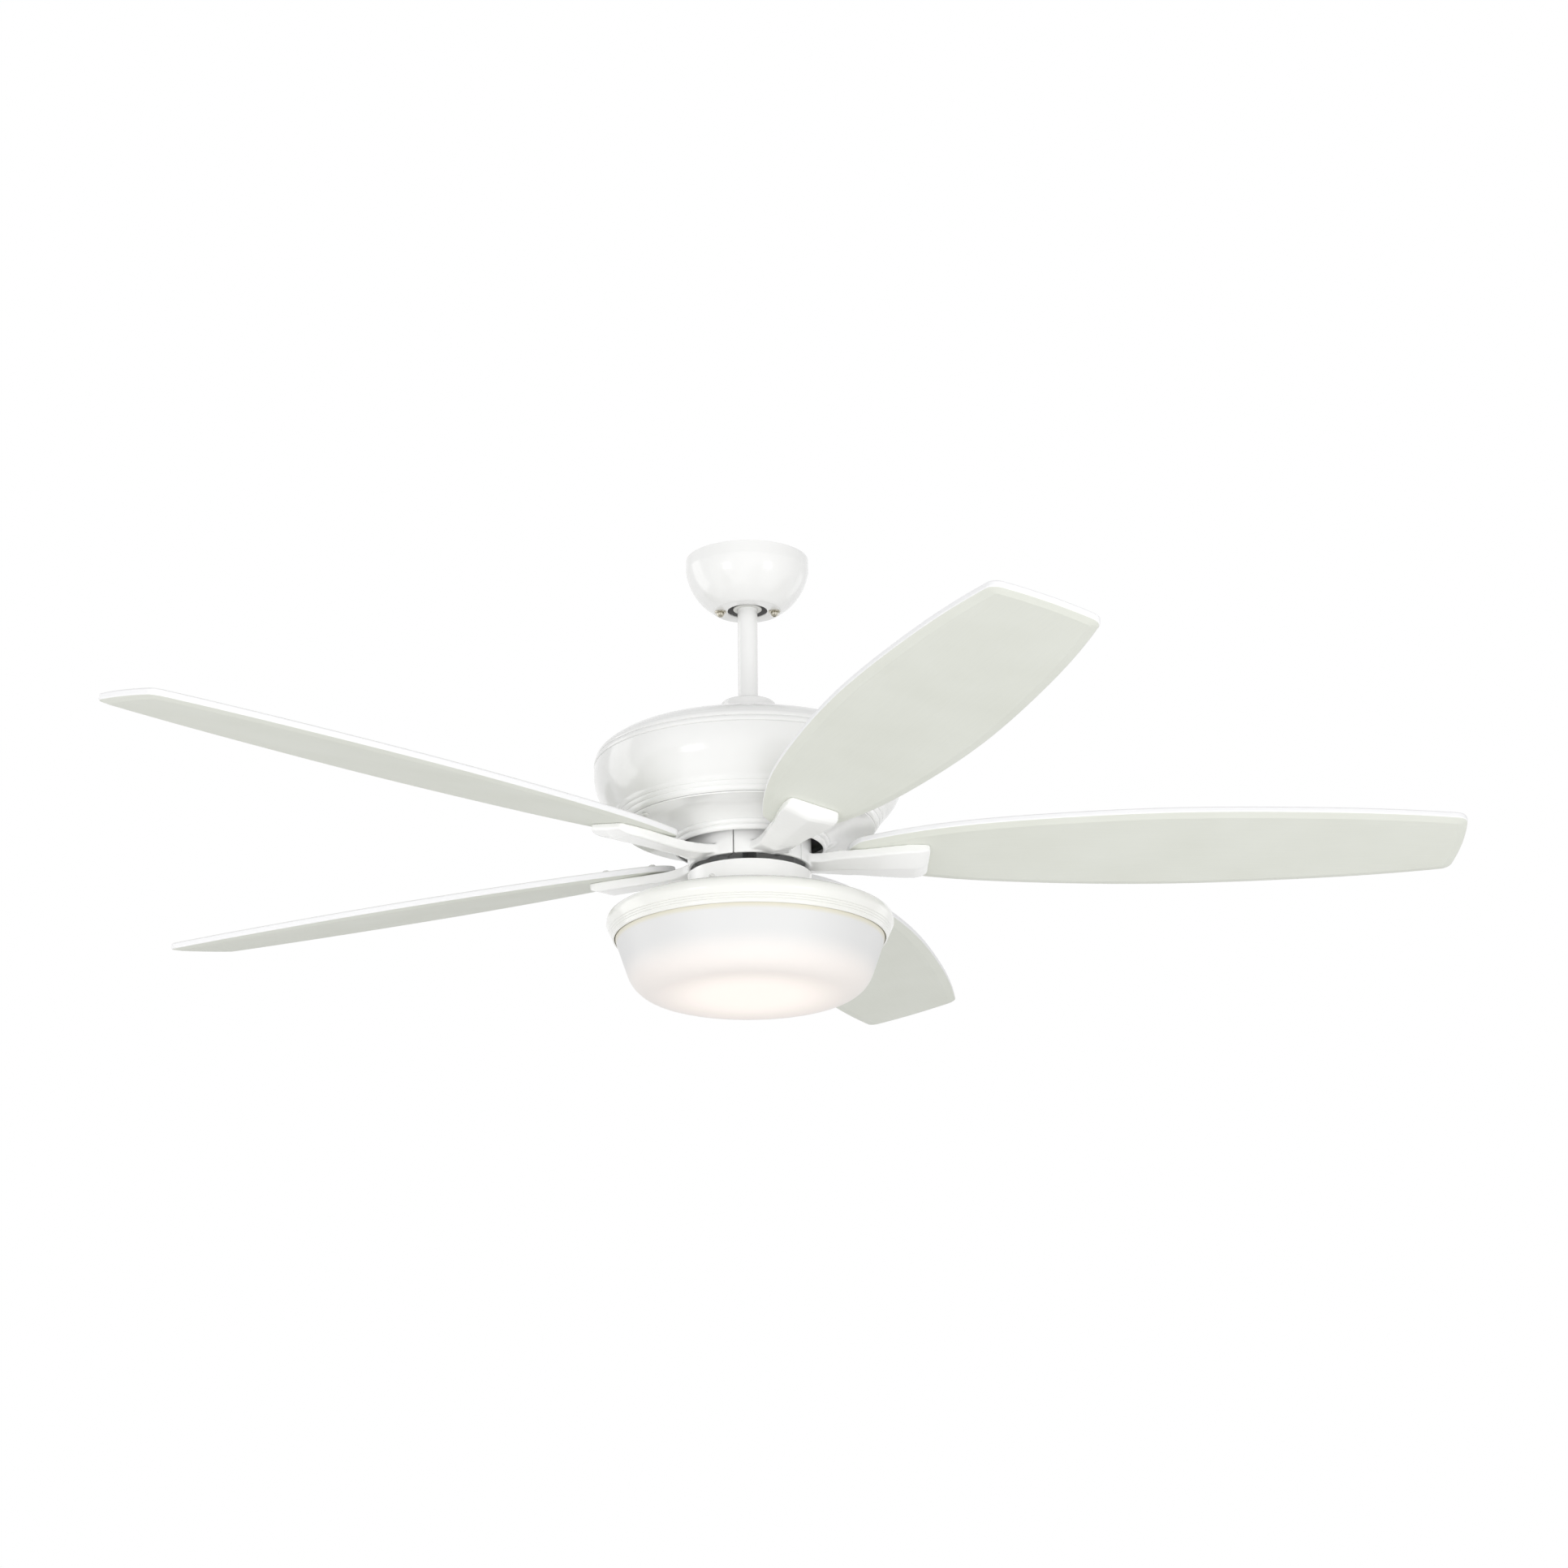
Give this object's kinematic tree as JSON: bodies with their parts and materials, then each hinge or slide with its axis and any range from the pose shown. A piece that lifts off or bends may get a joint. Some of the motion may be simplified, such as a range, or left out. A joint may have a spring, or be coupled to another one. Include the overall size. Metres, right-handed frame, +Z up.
{
  "type": "ceiling fan with light",
  "caption": "Ceiling fan with a bell housing, pitched blades on cast arms, short downrod, domed canopy and an opal glass bowl light",
  "frame": {"origin": "Centre of the hanger bracket's upper face, where it meets the ceiling; the fan hangs below it.", "axes": "+Z is up along the rod and the blades' axis. +X runs along the bracket's row of two slots and, within 3 degrees, along the first blade. The light screws out and the blades turn about Z."},
  "size_m": [1.422, 1.4696, 0.4847],
  "materials": {
    "white_enamel": "gloss white enamel",
    "white_board": "satin white painted board",
    "opal_glass": "satin opal glass, lit from inside",
    "nickel_steel": "bright nickel plate",
    "zinc_steel": "zinc plated steel",
    "bare_steel": "ground steel",
    "green_steel": "green dipped screw",
    "black_nylon": "moulded nylon",
    "copper_wire": "enamelled copper winding",
    "cast_aluminium": "cast aluminium",
    "white_solder_mask": "white solder mask",
    "white_case": "moulded case",
    "black_case": "moulded case",
    "black_iron": "dark magnet ring"
  },
  "bodies": {
    "ceiling_mount": {"hanger_bracket": "zinc_steel", "canopy": "white_enamel", "canopy_screws": "nickel_steel", "canopy_washers": "nickel_steel", "ground_screw": "green_steel"},
    "hanging_motor": {"hanger_ball": "black_nylon", "ball_cross_pin": "zinc_steel", "ball_set_screw": "zinc_steel", "downrod": "white_enamel", "motor_yoke": "zinc_steel", "clevis_pin": "zinc_steel", "hairpin_clip": "zinc_steel", "yoke_screws": "zinc_steel", "motor_shaft": "bare_steel", "housing_hanger_plate": "zinc_steel", "motor_housing_upper": "white_enamel", "motor_housing_lower": "white_enamel", "housing_screws": "nickel_steel", "stator_core": "bare_steel", "stator_windings": "copper_wire", "upper_inner_race": "bare_steel", "lower_inner_race": "bare_steel", "light_adapter_plate": "zinc_steel", "shaft_nuts": "zinc_steel", "lock_washer": "zinc_steel", "switch_cup": "white_enamel", "cup_screws": "nickel_steel", "light_pan": "white_enamel", "pan_screws": "nickel_steel", "pan_posts": "zinc_steel", "led_heat_sink": "cast_aluminium", "led_board": "white_solder_mask", "led_driver": "white_case", "run_capacitor": "black_case", "control_receiver": "white_case"},
    "coupling_cover": {"coupling_cover": "white_enamel"},
    "rotor": {"rotor_upper_cover": "cast_aluminium", "rotor_lower_cover": "cast_aluminium", "rotor_ring": "black_iron", "rotor_screws": "zinc_steel", "upper_outer_race": "bare_steel", "lower_outer_race": "bare_steel", "bearing_balls": "bare_steel", "blade_arm_1": "white_enamel", "blade_arm_2": "white_enamel", "blade_arm_3": "white_enamel", "blade_arm_4": "white_enamel", "blade_arm_5": "white_enamel", "blade_1": "white_board", "blade_2": "white_board", "blade_3": "white_board", "blade_4": "white_board", "blade_5": "white_board", "arm_screws": "nickel_steel", "blade_screws": "nickel_steel", "blade_washers": "nickel_steel"},
    "glass": {"glass_bowl": "opal_glass"}
  },
  "joints": [
    {"name": "ball_tilt", "type": "hinge", "parent": "ceiling_mount", "child": "hanging_motor", "pos_m": [0, 0, -0.03], "axis": [1, 0, 0], "range_deg": [-20, 20]},
    {"name": "rotor_spin", "type": "hinge", "parent": "hanging_motor", "child": "rotor", "pos_m": [0, 0, -0.262], "axis": [0, 0, 1], "continuous": true},
    {"name": "cover_slide", "type": "slide", "parent": "hanging_motor", "child": "coupling_cover", "axis": [0, 0, 1], "range_m": [0, 0.085]},
    {"name": "glass_twist", "type": "hinge", "parent": "hanging_motor", "child": "glass", "pos_m": [0, 0, -0.415], "axis": [0, 0, -1], "range_deg": [0, 30]}
  ]
}
